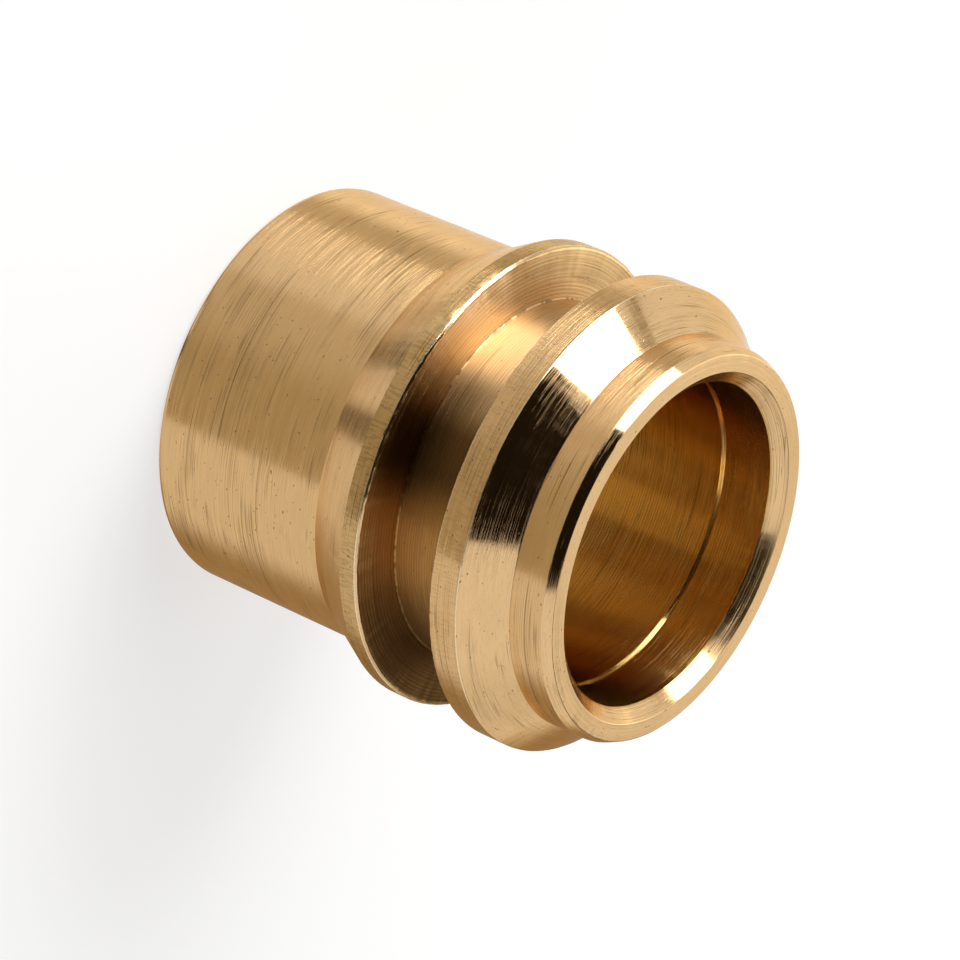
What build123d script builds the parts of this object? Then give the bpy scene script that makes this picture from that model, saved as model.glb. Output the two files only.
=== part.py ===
from build123d import *

import os
from math import radians, tan

# A one-piece sleeve turned from brass bar, in millimetres.
# Z is the turning axis. The sleeve stands on its tail face at z = 0 and its
# nose points up. From tail to nose: plain body, flare, narrow rear collar,
# deep groove with leaning flanks, front collar, cone and straight nose.
# A through bore opens into a slightly wider mouth below the nose face.

# Bore and the walls around it, all measured from the bore outwards.
bore_d = 17.1
mouth_step = 0.1           # how far the mouth is bored out beyond the bore, on the radius
body_wall = 2.4
collar_rise = 1.55         # both collars stand this far above the body
groove_wall = 1.15         # left between the groove floor and the bore
nose_wall = 1.9            # around the wider mouth

# Lengths along the axis, in order from the tail.
body_length = 10.7
flare_length = 2.9
rear_collar_width = 1.05
groove_width = 4.7         # at the collars' outside
groove_flank_lean = 4.0    # degrees, which makes the groove wider at its mouth
front_collar_width = 1.65
cone_length = 1.8
nose_length = 2.45

# Mouth of the bore.
mouth_depth = 3.45         # nose face down to the step in the bore
step_length = 0.22         # the step is a short cone
countersink_width = 0.72   # on the radius
countersink_depth = 0.65

# Edges.
nose_lead_length = 0.53    # long lead chamfer on the outside of the nose
nose_lead_width = 0.25
rear_collar_chamfer = 0.12
tail_rim_round = 0.35
tail_bore_chamfer = 0.3
edge_break = 0.05          # the other collar edges, only just broken
groove_corner_round = 0.1  # nose radius that the grooving tool leaves

bore_r = bore_d / 2
mouth_r = bore_r + mouth_step
body_r = bore_r + body_wall
collar_r = body_r + collar_rise
groove_r = bore_r + groove_wall
nose_r = mouth_r + nose_wall

flare_top = body_length + flare_length
groove_bottom = flare_top + rear_collar_width
groove_top = groove_bottom + groove_width
front_collar_top = groove_top + front_collar_width
cone_top = front_collar_top + cone_length
nose_face = cone_top + nose_length
step_top = nose_face - mouth_depth
flank_run = (collar_r - groove_r) * tan(radians(groove_flank_lean))


def section(*outline):
    """A closed half-section from its (radius, height) corners."""
    return make_face(Polyline(*outline, close=True))


def corner(half, radius, height):
    """The corner of a half-section nearest to one radius and height."""
    return half.vertices().sort_by_distance((radius, height))[0]


def turned(half):
    """A half-section turned about the axis."""
    return revolve(Plane.XZ * half, Axis.Z)


def outside():
    """The outside in one pass of the tool, with the groove in its outline."""
    half = section(
        (0, 0),
        (body_r, 0),
        (body_r, body_length),
        (collar_r, flare_top),
        (collar_r, groove_bottom),
        (groove_r, groove_bottom + flank_run),
        (groove_r, groove_top - flank_run),
        (collar_r, groove_top),
        (collar_r, front_collar_top),
        (nose_r, cone_top),
        (nose_r, nose_face - nose_lead_length),
        (nose_r - nose_lead_width, nose_face),
        (0, nose_face),
    )
    half = fillet(corner(half, body_r, 0), tail_rim_round)
    for height in (groove_bottom + flank_run, groove_top - flank_run):
        half = fillet(corner(half, groove_r, height), groove_corner_round)
    half = chamfer(corner(half, collar_r, groove_bottom), rear_collar_chamfer)
    for height in (flare_top, groove_top, front_collar_top):
        half = chamfer(corner(half, collar_r, height), edge_break)
    return turned(half)


def inside():
    """What the drill, the boring bar and the countersink take out."""
    half = section(
        (0, 0),
        (bore_r + tail_bore_chamfer, 0),
        (bore_r, tail_bore_chamfer),
        (bore_r, step_top - step_length),
        (mouth_r, step_top),
        (mouth_r, nose_face - countersink_depth),
        (mouth_r + countersink_width, nose_face),
        (0, nose_face),
    )
    return turned(half)


sleeve = outside() - inside()

os.makedirs("parts", exist_ok=True)
export_step(sleeve, "parts/turned_sleeve.step")
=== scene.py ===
from math import cos, pi, radians, sin, tan

import bpy
from mathutils import Matrix, Vector


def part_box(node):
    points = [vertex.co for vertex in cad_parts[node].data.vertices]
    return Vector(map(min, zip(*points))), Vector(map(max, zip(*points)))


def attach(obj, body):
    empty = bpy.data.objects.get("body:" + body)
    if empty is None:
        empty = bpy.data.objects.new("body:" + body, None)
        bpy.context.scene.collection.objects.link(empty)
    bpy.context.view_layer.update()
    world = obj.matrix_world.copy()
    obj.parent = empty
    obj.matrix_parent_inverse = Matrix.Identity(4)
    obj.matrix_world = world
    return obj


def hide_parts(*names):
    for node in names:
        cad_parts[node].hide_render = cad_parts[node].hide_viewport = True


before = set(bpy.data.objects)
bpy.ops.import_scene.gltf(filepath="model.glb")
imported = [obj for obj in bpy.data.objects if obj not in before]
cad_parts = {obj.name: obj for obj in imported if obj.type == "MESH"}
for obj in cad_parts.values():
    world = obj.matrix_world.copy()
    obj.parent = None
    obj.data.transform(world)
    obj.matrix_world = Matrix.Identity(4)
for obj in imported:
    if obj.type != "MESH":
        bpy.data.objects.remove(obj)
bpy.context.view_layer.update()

# ---------------------------------------------------------------------------
# The turned sleeve: one piece of brass bar, turned outside, grooved, drilled
# and bored, then countersunk and parted off. It stands on its tail face, and
# its edges are only just broken, so small nicks are left in them.
# ---------------------------------------------------------------------------
MM = 0.001
solid_low, solid_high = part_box("turned_sleeve")      # m

# Radii, mm. The collars are a hair smaller than the solid's, so that nothing
# stands proud of it.
COLLAR = round(solid_high.x / MM, 3) - 0.001
CHAMFER = 12.38          # small end of the chamfer in front of the rear collar
BODY = 10.95
NOSE = 10.55
LEAD = 10.3              # small end of the lead chamfer
GROOVE = 9.7
COUNTERSINK = 9.37
MOUTH = 8.65
BORE = 8.55

# Heights above the tail, mm.
FLARE_START = 10.7
REAR_COLLAR = 13.6
CHAMFER_START = 14.53
GROOVE_START = 14.658    # top of the groove's rear wall
GROOVE_REAR = 14.846     # the two ends of its floor
GROOVE_FRONT = 19.154
FRONT_COLLAR = 19.35
CONE_START = 21.0
NOSE_START = 22.8
LEAD_START = 24.72
LENGTH = round((solid_high.z - solid_low.z) / MM, 3)
MOUTH_START = 24.6       # where the countersink ends
STEP_START = 21.8        # the step down from the mouth to the bore
STEP_END = 21.58
TAIL_CHAMFER = 0.3       # inside, at the foot of the bore

SLICES = 480        # round the axis
EDGE_STEPS = 3      # facets across each broken edge
HOLD = 0.03         # plain metal kept beside each edge, so that it shades crisply, mm
SAME_POINT = 2e-7   # points closer than this are joined where the turning closes, m

# (radius, height, rounding, wear) of each corner of the half-section, mm, from
# the tail's inner edge, up the outside and down the bore. Wear is how nicked
# the edge is, from 0 to 1.
CORNERS = [
    (BORE + TAIL_CHAMFER, 0.0, 0.04, 0.0),
    (BODY, 0.0, 0.35, 0.0),
    (BODY, FLARE_START, 0.12, 0.0),
    (COLLAR, REAR_COLLAR, 0.05, 0.4),
    (COLLAR, CHAMFER_START, 0.015, 1.0),
    (CHAMFER, GROOVE_START, 0.015, 1.0),
    (GROOVE, GROOVE_REAR, 0.1, 0.0),
    (GROOVE, GROOVE_FRONT, 0.1, 0.0),
    (COLLAR, FRONT_COLLAR, 0.045, 0.7),
    (COLLAR, CONE_START, 0.045, 0.3),
    (NOSE, NOSE_START, 0.04, 0.2),
    (NOSE, LEAD_START, 0.03, 0.25),
    (LEAD, LENGTH, 0.03, 0.12),
    (COUNTERSINK, LENGTH, 0.035, 0.1),
    (MOUTH, MOUTH_START, 0.035, 0.3),
    (MOUTH, STEP_START, 0.012, 0.0),
    (BORE, STEP_END, 0.012, 0.0),
    (BORE, TAIL_CHAMFER, 0.04, 0.0),
]

# (height, width, depth) of the deeper scores that the tool left round the
# body, the collars and the nose, mm.
SCORES = [
    (2.05, 0.07, 0.006), (2.3, 0.05, 0.004), (3.9, 0.08, 0.007), (5.2, 0.05, 0.005),
    (6.45, 0.09, 0.008), (6.75, 0.05, 0.005), (8.3, 0.07, 0.006), (9.5, 0.06, 0.006),
    (14.05, 0.08, 0.012), (20.25, 0.05, 0.006), (23.72, 0.09, 0.014), (24.3, 0.05, 0.006),
]


def rounded(before, corner, after, rounding):
    """The points round one corner, with a short straight at both ends."""
    here = Vector(corner)
    back = (Vector(before) - here).normalized()
    ahead = (Vector(after) - here).normalized()
    half = back.angle(ahead) / 2
    reach = rounding / tan(half)
    start, end = here + back * reach, here + ahead * reach
    centre = here + (back + ahead).normalized() * (rounding / sin(half))
    points = [start + back * HOLD]
    turn = (start - centre).angle_signed(end - centre)
    for step in range(EDGE_STEPS + 1):
        spoke = Matrix.Rotation(-turn * step / EDGE_STEPS, 2) @ (start - centre)
        points.append(centre + spoke)
    points.append(end + ahead * HOLD)
    return points


outline = []
for n, (radius, height, rounding, _) in enumerate(CORNERS):
    before, after = CORNERS[n - 1][:2], CORNERS[(n + 1) % len(CORNERS)][:2]
    outline += rounded(before, (radius, height), after, rounding)
    # the scores on an upright face, between this corner and the next
    if after[0] == radius and after[1] > height:
        for score, width, depth in SCORES:
            if height < score < after[1]:
                edge = width / 2
                outline += [Vector((radius, score - edge - HOLD)),
                            Vector((radius, score - edge)),
                            Vector((radius - depth, score)),
                            Vector((radius, score + edge)),
                            Vector((radius, score + edge + HOLD))]

# one point is drawn out from corner to corner into the half-section
bpy.ops.object.select_all(action="DESELECT")
bpy.ops.mesh.primitive_plane_add(size=MM)
sleeve = bpy.context.object
sleeve.name = "turned_sleeve_visual"
bpy.ops.object.mode_set(mode="EDIT")
bpy.ops.mesh.merge(type="CENTER")
bpy.ops.mesh.select_all(action="SELECT")
here = Vector((0, 0, 0))
for n, (radius, height) in enumerate(outline):
    step = Vector((radius, 0, height)) * MM - here
    if n == 0:
        bpy.ops.transform.translate(value=step)
    else:
        bpy.ops.mesh.extrude_region_move(TRANSFORM_OT_translate={"value": step})
    here += step
# the half-section is closed from its last point to its first, and turned
bpy.ops.mesh.select_all(action="DESELECT")
bpy.ops.object.mode_set(mode="OBJECT")
for radius, height in (outline[0], outline[-1]):
    spot = Vector((radius, 0, height)) * MM
    min(sleeve.data.vertices, key=lambda point: (point.co - spot).length).select = True
bpy.ops.object.mode_set(mode="EDIT")
bpy.ops.mesh.edge_face_add()
bpy.ops.mesh.select_all(action="SELECT")
bpy.ops.mesh.spin(steps=SLICES, angle=2 * pi, center=(0, 0, 0), axis=(0, 0, 1))
bpy.ops.mesh.select_all(action="SELECT")
bpy.ops.mesh.remove_doubles(threshold=SAME_POINT)
bpy.ops.mesh.normals_make_consistent(inside=False)
bpy.ops.object.mode_set(mode="OBJECT")
bpy.ops.object.shade_smooth()

# Nicks in the broken edges: the points of each rounding are pushed in by an
# uneven amount. Weighted normals then keep the wide faces beside them flat.
NICK_DEPTH = 0.03   # of the deepest nick, mm
NICK_SIZE = 0.22    # of the largest lumps in the noise, mm
EDGE_REACH = 0.035  # a point this close to a corner belongs to its edge, mm
edges = sleeve.vertex_groups.new(name="edges")
for radius, height, _, wear in CORNERS:
    near = []
    for point in sleeve.data.vertices:
        spot = Vector((point.co.xy.length, point.co.z)) / MM
        if (spot - Vector((radius, height))).length < EDGE_REACH:
            near.append(point.index)
    edges.add(near, wear, "REPLACE")
chips = bpy.data.textures.new("chips", type="CLOUDS")
chips.noise_scale = NICK_SIZE * MM
chips.noise_depth = 3
chips.contrast = 3.0
chips.intensity = 1.3
chips.use_clamp = True
nicks = sleeve.modifiers.new("nicks", "DISPLACE")
nicks.texture = chips
nicks.texture_coords = "LOCAL"
nicks.vertex_group = "edges"
nicks.mid_level = 1.0
nicks.strength = NICK_DEPTH * MM
bpy.ops.object.modifier_apply(modifier="nicks")
sleeve.modifiers.new("flats", "WEIGHTED_NORMAL").weight = 100
bpy.ops.object.modifier_apply(modifier="flats")

# ---------------------------------------------------------------------------
# The brass, as it leaves the lathe: bare and bright, with fine marks round
# the axis that spread each reflection along it. The cone, the lead chamfer
# and the end face were cut finer than the body, and the groove coarser.
# ---------------------------------------------------------------------------
brass = bpy.data.materials.new("turned_brass")
brass.use_nodes = True
tree = brass.node_tree
shader = tree.nodes["Principled BSDF"]


def feed(socket, value):
    """Give an input a number, a colour or another node's output."""
    if isinstance(value, bpy.types.NodeSocket):
        socket.id_data.links.new(value, socket)
    elif isinstance(value, tuple) and len(socket.default_value) == 4:
        socket.default_value = (*value, 1)
    else:
        socket.default_value = value


def sums(tree, operation, *values):
    """A Math node on these numbers or outputs."""
    node = tree.nodes.new("ShaderNodeMath")
    node.operation = operation
    for socket, value in zip(node.inputs, values):
        feed(socket, value)
    return node.outputs[0]


def ramp(tree, value, low, high, start=0.0, end=1.0):
    """A smooth rise from start to end as the value goes from low to high."""
    node = tree.nodes.new("ShaderNodeMapRange")
    node.interpolation_type = "SMOOTHSTEP"
    feed(node.inputs["Value"], value)
    if low > high:
        low, high, start, end = high, low, end, start
    feed(node.inputs["From Min"], low)
    feed(node.inputs["From Max"], high)
    feed(node.inputs["To Min"], start)
    feed(node.inputs["To Max"], end)
    return node.outputs[0]


def between(tree, value, low, high, soft):
    """1 from low to high, 0 outside, over soft edges."""
    return sums(tree, "MULTIPLY", ramp(tree, value, low - soft / 2, low + soft / 2),
                ramp(tree, value, high + soft / 2, high - soft / 2))


def blend(tree, amount, under, over):
    """Lay one colour over another by an amount."""
    node = tree.nodes.new("ShaderNodeMix")
    node.data_type = "RGBA"
    feed(node.inputs["Factor"], amount)
    feed(node.inputs["A"], under)
    feed(node.inputs["B"], over)
    return node.outputs["Result"]


place = tree.nodes.new("ShaderNodeTexCoord").outputs["Object"]
split = tree.nodes.new("ShaderNodeSeparateXYZ")
feed(split.inputs[0], place)
x, y, z = split.outputs
radius = sums(tree, "SQRT", sums(tree, "ADD", sums(tree, "MULTIPLY", x, x),
                                 sums(tree, "MULTIPLY", y, y)))
east, north = sums(tree, "DIVIDE", x, radius), sums(tree, "DIVIDE", y, radius)
radius = sums(tree, "MULTIPLY", radius, 1 / MM)      # mm from the axis
height = sums(tree, "MULTIPLY", z, 1 / MM)           # mm above the tail


def marks(per_mm, around, detail, roughness, shift=0.0):
    """Noise drawn out into rings: so many per mm, changing so often on their way round."""
    spot = tree.nodes.new("ShaderNodeCombineXYZ")
    feed(spot.inputs[0], sums(tree, "MULTIPLY", radius, per_mm))
    feed(spot.inputs[1], sums(tree, "MULTIPLY_ADD", height, per_mm, shift))
    feed(spot.inputs[2], sums(tree, "MULTIPLY", east, around))
    noise = tree.nodes.new("ShaderNodeTexNoise")
    noise.noise_dimensions = "4D"
    feed(noise.inputs["Vector"], spot.outputs[0])
    feed(noise.inputs["W"], sums(tree, "MULTIPLY", north, around))
    feed(noise.inputs["Scale"], 1.0)
    feed(noise.inputs["Detail"], detail)
    feed(noise.inputs["Roughness"], roughness)
    return noise.outputs["Fac"]


def hairline(noise, width):
    """A thin line wherever the noise passes its middle."""
    return ramp(tree, sums(tree, "ABSOLUTE", sums(tree, "SUBTRACT", noise, 0.5)), width, 0.0)


def both(a, b):
    """Where one mask meets another."""
    return sums(tree, "MULTIPLY", a, b)


def either(a, b):
    """Where one mask or the other is."""
    return sums(tree, "MAXIMUM", a, b)


def dimmed(shade, mask, left):
    """Darken the shade where the mask is, to the share that is left."""
    return both(shade, ramp(tree, mask, 0.0, 1.0, 1.0, left))


def add(total, amount, mask):
    """Add an amount where the mask is."""
    return sums(tree, "MULTIPLY_ADD", mask, amount, total)


def across(start, end):
    """1 on the face between two heights, mm."""
    return between(tree, height, start, end, 0.04)


def beside(value, edge, before, after, soft):
    """1 beside an edge, from so far before it to so far after it, mm."""
    return between(tree, value, edge - before, edge + after, soft)


# the faces, told apart by height and radius
outer = ramp(tree, radius, GROOVE - 0.2, GROOVE - 0.1)
land_1 = both(across(REAR_COLLAR, CHAMFER_START + 0.01),
              ramp(tree, radius, COLLAR - 0.1, COLLAR - 0.06))
land_2 = both(across(FRONT_COLLAR + 0.03, CONE_START - 0.02),
              ramp(tree, radius, COLLAR - 0.08, COLLAR - 0.04))
groove = both(between(tree, height, GROOVE_START, FRONT_COLLAR - 0.01, 0.03), outer)
deep = both(groove, ramp(tree, radius, CHAMFER, CHAMFER - 0.13))
cone = both(across(CONE_START + 0.02, NOSE_START - 0.02), outer)
lead = both(across(LEAD_START + 0.02, LENGTH - 0.03), outer)
end_face = ramp(tree, height, LENGTH - 0.015, LENGTH - 0.001)
inside = ramp(tree, radius, MOUTH + 0.1, MOUTH + 0.03)
lands = either(land_1, land_2)
bright_cut = either(cone, lead)

# the edges of the collars, the corners of the groove and the foot of the nose; the last two are
# darkened below as painted shade
# on these rims a paler colour is painted as highlight
highlit_rims = both(ramp(tree, radius, COLLAR - 0.06, COLLAR - 0.03),
            either(beside(height, CHAMFER_START, 0.015, 0.03, 0.02),
                   either(beside(height, FRONT_COLLAR, 0.005, 0.05, 0.02),
                          beside(height, CONE_START, 0.035, 0.01, 0.02))))
groove_corners = both(beside(radius, GROOVE, 0.1, 0.1, 0.05),
                      either(beside(height, GROOVE_REAR, 0.026, 0.084, 0.05),
                             beside(height, GROOVE_FRONT, 0.084, 0.026, 0.05)))
nose_corner = both(beside(height, NOSE_START, 0.01, 0.03, 0.03),
                   beside(radius, NOSE, 0.05, 0.03, 0.03))

# the marks that the tool left round the axis
fine = marks(13.0, 1.0, 2.0, 0.6)
coarse = marks(2.3, 0.8, 1.0, 0.6, 31.0)
strokes = marks(16.0, 5.0, 1.0, 0.6, 77.0)
streaks = marks(17.0, 26.0, 1.0, 0.6, 19.0)
lines = hairline(marks(12.0, 0.8, 1.0, 0.6, 23.0), 0.028)
patches = marks(0.55, 2.4, 2.0, 0.6, 12.0)
worked = ramp(tree, patches, 0.47, 0.66)             # where the fine marks are deeper
scratched = both(ramp(tree, streaks, 0.54, 0.62), bright_cut)
hair = both(hairline(marks(6.0, 0.7, 0.0, 0.5, 5.0), 0.035), ramp(tree, patches, 0.38, 0.6))
scored = 0.0
for score, width, _ in SCORES:
    off = sums(tree, "ABSOLUTE", sums(tree, "SUBTRACT", height, score))
    scored = either(scored, ramp(tree, off, width * 0.55, width * 0.1))
scored = both(both(scored, outer), ramp(tree, patches, 0.4, 0.62))

# the lines of the tool's feed, which show in the groove and the bore
FEED = 0.16                                          # mm from one line to the next
WANDER = 9.0                                         # how much they run out of true, radians
pitch = sums(tree, "MULTIPLY_ADD", radius, -0.7, height)
feed_marks = sums(tree, "SINE", sums(tree, "MULTIPLY_ADD", pitch, 2 * pi / FEED,
                                     sums(tree, "MULTIPLY", coarse, WANDER)))

# marks along the axis, spots for the groove's corners, pits, and scratches every way from handling
crossed = marks(1.6, 95.0, 1.0, 0.6, 41.0)
corner_spots = marks(3.0, 22.0, 1.0, 0.7, 53.0)
pits = ramp(tree, marks(9.0, 60.0, 0.0, 0.5, 91.0), 0.77, 0.83)
rub = tree.nodes.new("ShaderNodeTexNoise")
feed(rub.inputs["Vector"], place)
feed(rub.inputs["Scale"], 5200.0)
feed(rub.inputs["Detail"], 2.0)
rub = rub.outputs["Fac"]

# painted shade in the groove: it is coloured darker than the body, darker still towards +X, and
# darkest where it faces ±Y and where it faces +X
groove_painted_shade = blend(tree, ramp(tree, east, -0.35, 0.2), (0.66, 0.44, 0.22), (0.58, 0.305, 0.095))
groove_painted_shade = blend(tree, between(tree, east, -0.17, 0.24, 0.22), groove_painted_shade, (0.22, 0.115, 0.04))
groove_painted_shade = blend(tree, ramp(tree, east, 0.6, 0.95), groove_painted_shade, (0.21, 0.11, 0.04))

# the colour of each face; the rims are given a paler colour, a painted highlight
# the deep part of the groove takes that painted shade
tint = blend(tree, deep, (0.86, 0.57, 0.285), groove_painted_shade)
# the bore is coloured darker and more olive than the body: painted shade in the hollow
for mask, colour in [(inside, (0.66, 0.425, 0.15)), (land_1, (0.70, 0.46, 0.21)),
                     (land_2, (0.84, 0.55, 0.27)), (highlit_rims, (0.98, 0.82, 0.56))]:
    tint = blend(tree, mask, tint, colour)

# what is left of it where the marks are
shade = ramp(tree, patches, 0.35, 0.5, 0.95, 1.0)
for mask, left in [
    (both(worked, ramp(tree, fine, 0.52, 0.40)), 0.86),
    (both(worked, ramp(tree, strokes, 0.42, 0.30)), 0.92),
    (both(lines, ramp(tree, patches, 0.40, 0.64)), 0.62),
    (both(deep, ramp(tree, feed_marks, 0.3, -0.9)), 0.8),
    (hair, 0.62),
    (scratched, 0.92),
    (scored, 0.5),
]:
    shade = dimmed(shade, mask, left)
shade = either(shade, both(end_face, 0.94))          # the end face is cleaner
along = ramp(tree, crossed, 0.55, 0.38)
# marks along the axis on the lands; painted shade in spots along the groove's corners and as a line
# at the foot of the nose; and pits
for mask, left in [
    (both(land_1, along), 0.78),
    (both(land_2, along), 0.9),
    (both(groove_corners, ramp(tree, corner_spots, 0.45, 0.6)), 0.35),
    (nose_corner, 0.6),
    (pits, 0.35),
]:
    shade = dimmed(shade, mask, left)
# the colour that the marks and the painted shade darken towards
MARK_AND_SHADE_DARK = (0.10, 0.06, 0.015)
feed(shader.inputs["Base Color"], blend(tree, shade, MARK_AND_SHADE_DARK, tint))

# how rough each face is, beside the body
finish = ramp(tree, coarse, 0.3, 0.7, 0.15, 0.19)
for mask, amount in [(land_1, 0.02), (deep, 0.19), (inside, -0.02), (cone, -0.10),
                     (lead, -0.10), (end_face, -0.07), (highlit_rims, 0.06), (scratched, 0.04)]:
    finish = add(finish, amount, mask)
feed(shader.inputs["Roughness"], finish)

# how deep the marks are, in thousandths of a mm, and shallower on the faces
# that the tool finished with its finest cut
depth = sums(tree, "MULTIPLY", fine, 2.2)
for amount, mask in [
    (3.2, both(fine, worked)),
    (2.6, coarse),
    (0.9, strokes),
    (-2.5, hair),
    (-2.0, lines),
    (-4.0, pits),
    (4.0, both(fine, deep)),
    (3.5, both(streaks, bright_cut)),
    (2.3, both(feed_marks, deep)),
    (1.2, both(feed_marks, inside)),
    (2.2, both(rub, lands)),
    (2.0, both(crossed, lands)),
    (3.0, both(corner_spots, groove_corners)),
]:
    depth = add(depth, amount, mask)
depth = both(depth, sums(tree, "MULTIPLY_ADD", either(end_face, bright_cut), -0.6, 1.0))
bump = tree.nodes.new("ShaderNodeBump")
feed(bump.inputs["Height"], depth)
feed(bump.inputs["Strength"], 1.0)
feed(bump.inputs["Distance"], 0.001 * MM)
feed(shader.inputs["Normal"], bump.outputs["Normal"])

# bare metal, whose reflections spread across the marks
shader.inputs["Metallic"].default_value = 1.0
shader.inputs["Specular Tint"].default_value = (0.95, 0.8, 0.6, 1)
shader.inputs["Anisotropic"].default_value = 0.9
shader.inputs["Anisotropic Rotation"].default_value = 0.25
tangent = tree.nodes.new("ShaderNodeTangent")
tangent.direction_type = "RADIAL"
tangent.axis = "Z"
feed(shader.inputs["Tangent"], tangent.outputs["Tangent"])
sleeve.data.materials.append(brass)

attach(sleeve, "root")
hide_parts("turned_sleeve")

# ---------------------------------------------------------------------------
# The floor, a sheet of pale paper under the sleeve. It takes the sleeve's
# shadow, and glows a little to the camera so that it comes out white. The
# metal doesn't reflect it: the world below the horizon stands for it there.
# ---------------------------------------------------------------------------
FLOOR_SIDE = 1.6    # m
FLOOR_GLOW = 0.62
bpy.ops.object.select_all(action="DESELECT")
bpy.ops.mesh.primitive_plane_add(size=FLOOR_SIDE)
floor = bpy.context.object
floor.name = "floor"
floor.visible_glossy = False
paper = bpy.data.materials.new("pale_paper")
paper.use_nodes = True
tree = paper.node_tree
tree.nodes.clear()
lit = tree.nodes.new("ShaderNodeBsdfDiffuse")
feed(lit.inputs["Color"], (0.8, 0.8, 0.8))
glow = tree.nodes.new("ShaderNodeEmission")
feed(glow.inputs["Strength"], FLOOR_GLOW)
half_lit = tree.nodes.new("ShaderNodeMixShader")
feed(half_lit.inputs["Fac"], 0.5)
feed(half_lit.inputs[1], lit.outputs[0])
bright = tree.nodes.new("ShaderNodeAddShader")
feed(bright.inputs[0], half_lit.outputs[0])
feed(bright.inputs[1], glow.outputs[0])
path = tree.nodes.new("ShaderNodeLightPath")
final = tree.nodes.new("ShaderNodeMixShader")
feed(final.inputs["Fac"], path.outputs["Is Camera Ray"])
feed(final.inputs[1], lit.outputs[0])
feed(final.inputs[2], bright.outputs[0])
out = tree.nodes.new("ShaderNodeOutputMaterial")
feed(out.inputs["Surface"], final.outputs[0])
floor.data.materials.append(paper)

# ---------------------------------------------------------------------------
# The studio round the sleeve, which is what the bare metal mirrors: pale
# paper, with white, grey, brown and black screens hung in front of it, the
# widest black one on the camera's side. The camera itself sees plain white.
# ---------------------------------------------------------------------------
world = bpy.data.worlds.new("studio")
bpy.context.scene.world = world
world.use_nodes = True
tree = world.node_tree
tree.nodes.clear()
split = tree.nodes.new("ShaderNodeSeparateXYZ")
feed(split.inputs[0], tree.nodes.new("ShaderNodeTexCoord").outputs["Generated"])
x, y, z = split.outputs
DEGREES = 180 / pi                                                   # in a radian
rise = sums(tree, "MULTIPLY", sums(tree, "ARCSINE", z), DEGREES)     # degrees above the horizon


def mixed(u, times_u, v, times_v):
    """The sum of two outputs, each taken so many times."""
    return sums(tree, "ADD", sums(tree, "MULTIPLY", u, times_u), sums(tree, "MULTIPLY", v, times_v))


def screen(under, azimuth, half, soft_left, soft_right, low, high, soft, colour):
    """Hang a screen over what is behind it.

    All in degrees. Azimuth 0 is the camera's side, and it grows towards +X.
    """
    turn = radians(azimuth)
    toward = mixed(x, sin(turn), y, -cos(turn))
    across = mixed(x, cos(turn), y, sin(turn))
    off = sums(tree, "MULTIPLY", sums(tree, "ARCTAN2", across, toward), DEGREES)
    mask = sums(tree, "MULTIPLY", ramp(tree, off, -half - soft_left / 2, -half + soft_left / 2),
                ramp(tree, off, half + soft_right / 2, half - soft_right / 2))
    mask = sums(tree, "MULTIPLY", mask, between(tree, rise, low, high, soft))
    return blend(tree, mask, under, colour)


# azimuth, half width, how soft the left and right edges are, low and high
# edge, how soft those are, and colour
PAPER = (0.85, 0.85, 0.85)
sky = PAPER
for setting in [
    (-151, 33, 6, 14, -99, 3, 16, (0.97, 0.96, 0.95)),
    (-84, 34, 10, 14, -99, -8, 14, (0.74, 0.71, 0.68)),
    (-104, 13, 8, 14, -99, -10, 14, (0.52, 0.47, 0.38)),
    (-131, 4, 5, 5, -99, -12, 10, (1.12, 1.10, 1.08)),
    (-155, 17, 4, 6, 19, 46, 8, (1.9, 1.85, 1.75)),
    (-112, 2.5, 3, 3, 6, 44, 10, (0.40, 0.36, 0.28)),
    (0, 47, 12, 4, -99, -10, 16, (0.58, 0.53, 0.44)),
    (18, 28, 36, 4, -99, -10, 16, (0.42, 0.36, 0.24)),
    (73, 27, 4, 10, -99, -14, 14, (0.75, 0.72, 0.66)),
    (146, 34, 30, 3, -99, -16, 14, (0.34, 0.265, 0.16)),
    (160, 22, 20, 3, -99, 2, 20, (0.38, 0.29, 0.18)),
    (156, 17.5, 8, 2, 18, 99, 12, (0.03, 0.02, 0.01)),
    (143, 28, 10, 2, 44, 99, 10, (0.03, 0.02, 0.01)),
    (162, 11.5, 8, 2, 4, 30, 8, (0.10, 0.07, 0.04)),
    (120, 18, 14, 8, 0, 30, 14, (0.75, 0.74, 0.72)),
    (0, 46, 1, 8, -3, 99, 8, (0.012, 0.009, 0.006)),
    (-40, 26, 2, 2, 30, 99, 4, (0.012, 0.009, 0.006)),
]:
    sky = screen(sky, *setting)

# strips of card straight below, which run away from the camera: a wide pale
# one with two dark ones on it
underfoot = ramp(tree, rise, -50, -62)
for low, high, soft, colour in [(-0.36, 0.36, 0.06, (0.76, 0.755, 0.75)),
                                (-0.305, -0.205, 0.07, (0.14, 0.13, 0.10)),
                                (-0.015, 0.115, 0.07, (0.19, 0.18, 0.14))]:
    mask = sums(tree, "MULTIPLY", between(tree, x, low, high, soft), underfoot)
    sky = blend(tree, mask, sky, colour)

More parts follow.
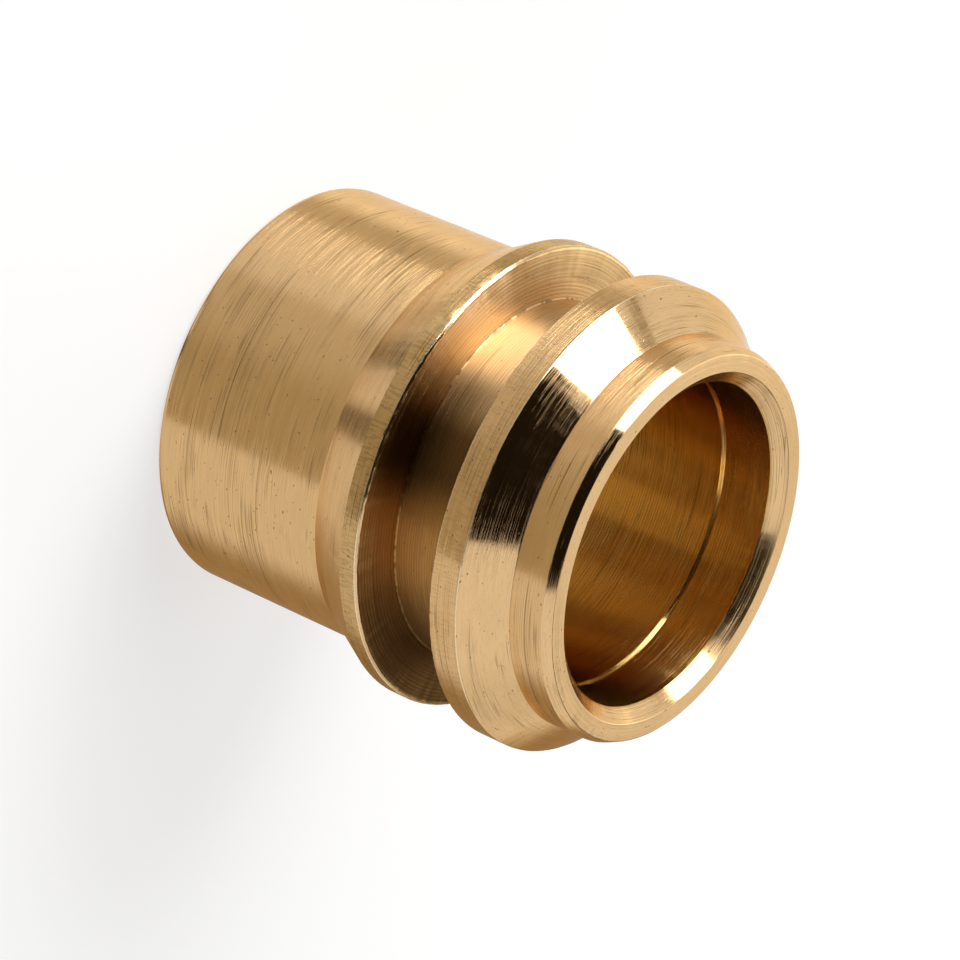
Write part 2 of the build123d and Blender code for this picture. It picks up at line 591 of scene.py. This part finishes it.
# plain overhead, and white to the camera itself
OVERHEAD = (0.5, 0.48, 0.44)
WHITE = (0.98, 0.98, 0.98)
sky = blend(tree, ramp(tree, rise, 74, 84), sky, OVERHEAD)
path = tree.nodes.new("ShaderNodeLightPath")
sky = blend(tree, path.outputs["Is Camera Ray"], sky, WHITE)
background = tree.nodes.new("ShaderNodeBackground")
feed(background.inputs["Color"], sky)
out = tree.nodes.new("ShaderNodeOutputWorld")
feed(out.inputs["Surface"], background.outputs[0])

# ---------------------------------------------------------------------------
# The soft box, a tall even panel to the left, a little off upright. It makes
# the white patches on the cone and the lead chamfer.
# ---------------------------------------------------------------------------
FAR = 1.5                   # from the sleeve, m
HALF_ANGLE = 23.85          # half of its width, seen from the sleeve, degrees
BOTTOM, TOP = -0.02, 2.2    # its ends, in shares of the distance
RADIANCE = 5.2
along = Vector((-0.239, 0.319, 0.917)).normalized()      # its upright edges
facing = Vector((-0.889, -0.451, -0.075)).normalized()   # from the sleeve towards its foot
sideways = along.cross(facing).normalized()
facing = sideways.cross(along).normalized()
bpy.ops.object.light_add(type="AREA")
soft_box = bpy.context.object
soft_box.name = "soft_box"
soft_box.data.shape = "RECTANGLE"
soft_box.data.size = 2 * tan(radians(HALF_ANGLE)) * FAR
soft_box.data.size_y = (TOP - BOTTOM) * FAR
soft_box.data.energy = RADIANCE * pi * soft_box.data.size * soft_box.data.size_y
middle = (facing + along * (TOP + BOTTOM) / 2) * FAR
soft_box.matrix_world = (Matrix.Translation(middle)
                         @ Matrix((sideways, along, facing)).transposed().to_4x4())

# ---------------------------------------------------------------------------
# The camera, with a long lens, held a quarter of a metre away and rolled on
# its side, so that the standing sleeve seems to lie.
# ---------------------------------------------------------------------------
STAND = Vector((0, -0.19766, 0.135866))      # m
AIM = Vector((0.000768, 0, 0.012871))        # close to the sleeve's middle, m
ROLL = 113.438                               # degrees
bpy.ops.object.camera_add()
camera = bpy.context.object
camera.data.lens = 170                       # mm
camera.data.sensor_width = 36                # mm
level = (AIM - STAND).to_track_quat("-Z", "Y").to_matrix().to_4x4()
camera.matrix_world = Matrix.Translation(STAND) @ level @ Matrix.Rotation(radians(ROLL), 4, "Z")
bpy.context.scene.camera = camera
bpy.context.scene.view_settings.view_transform = "Standard"
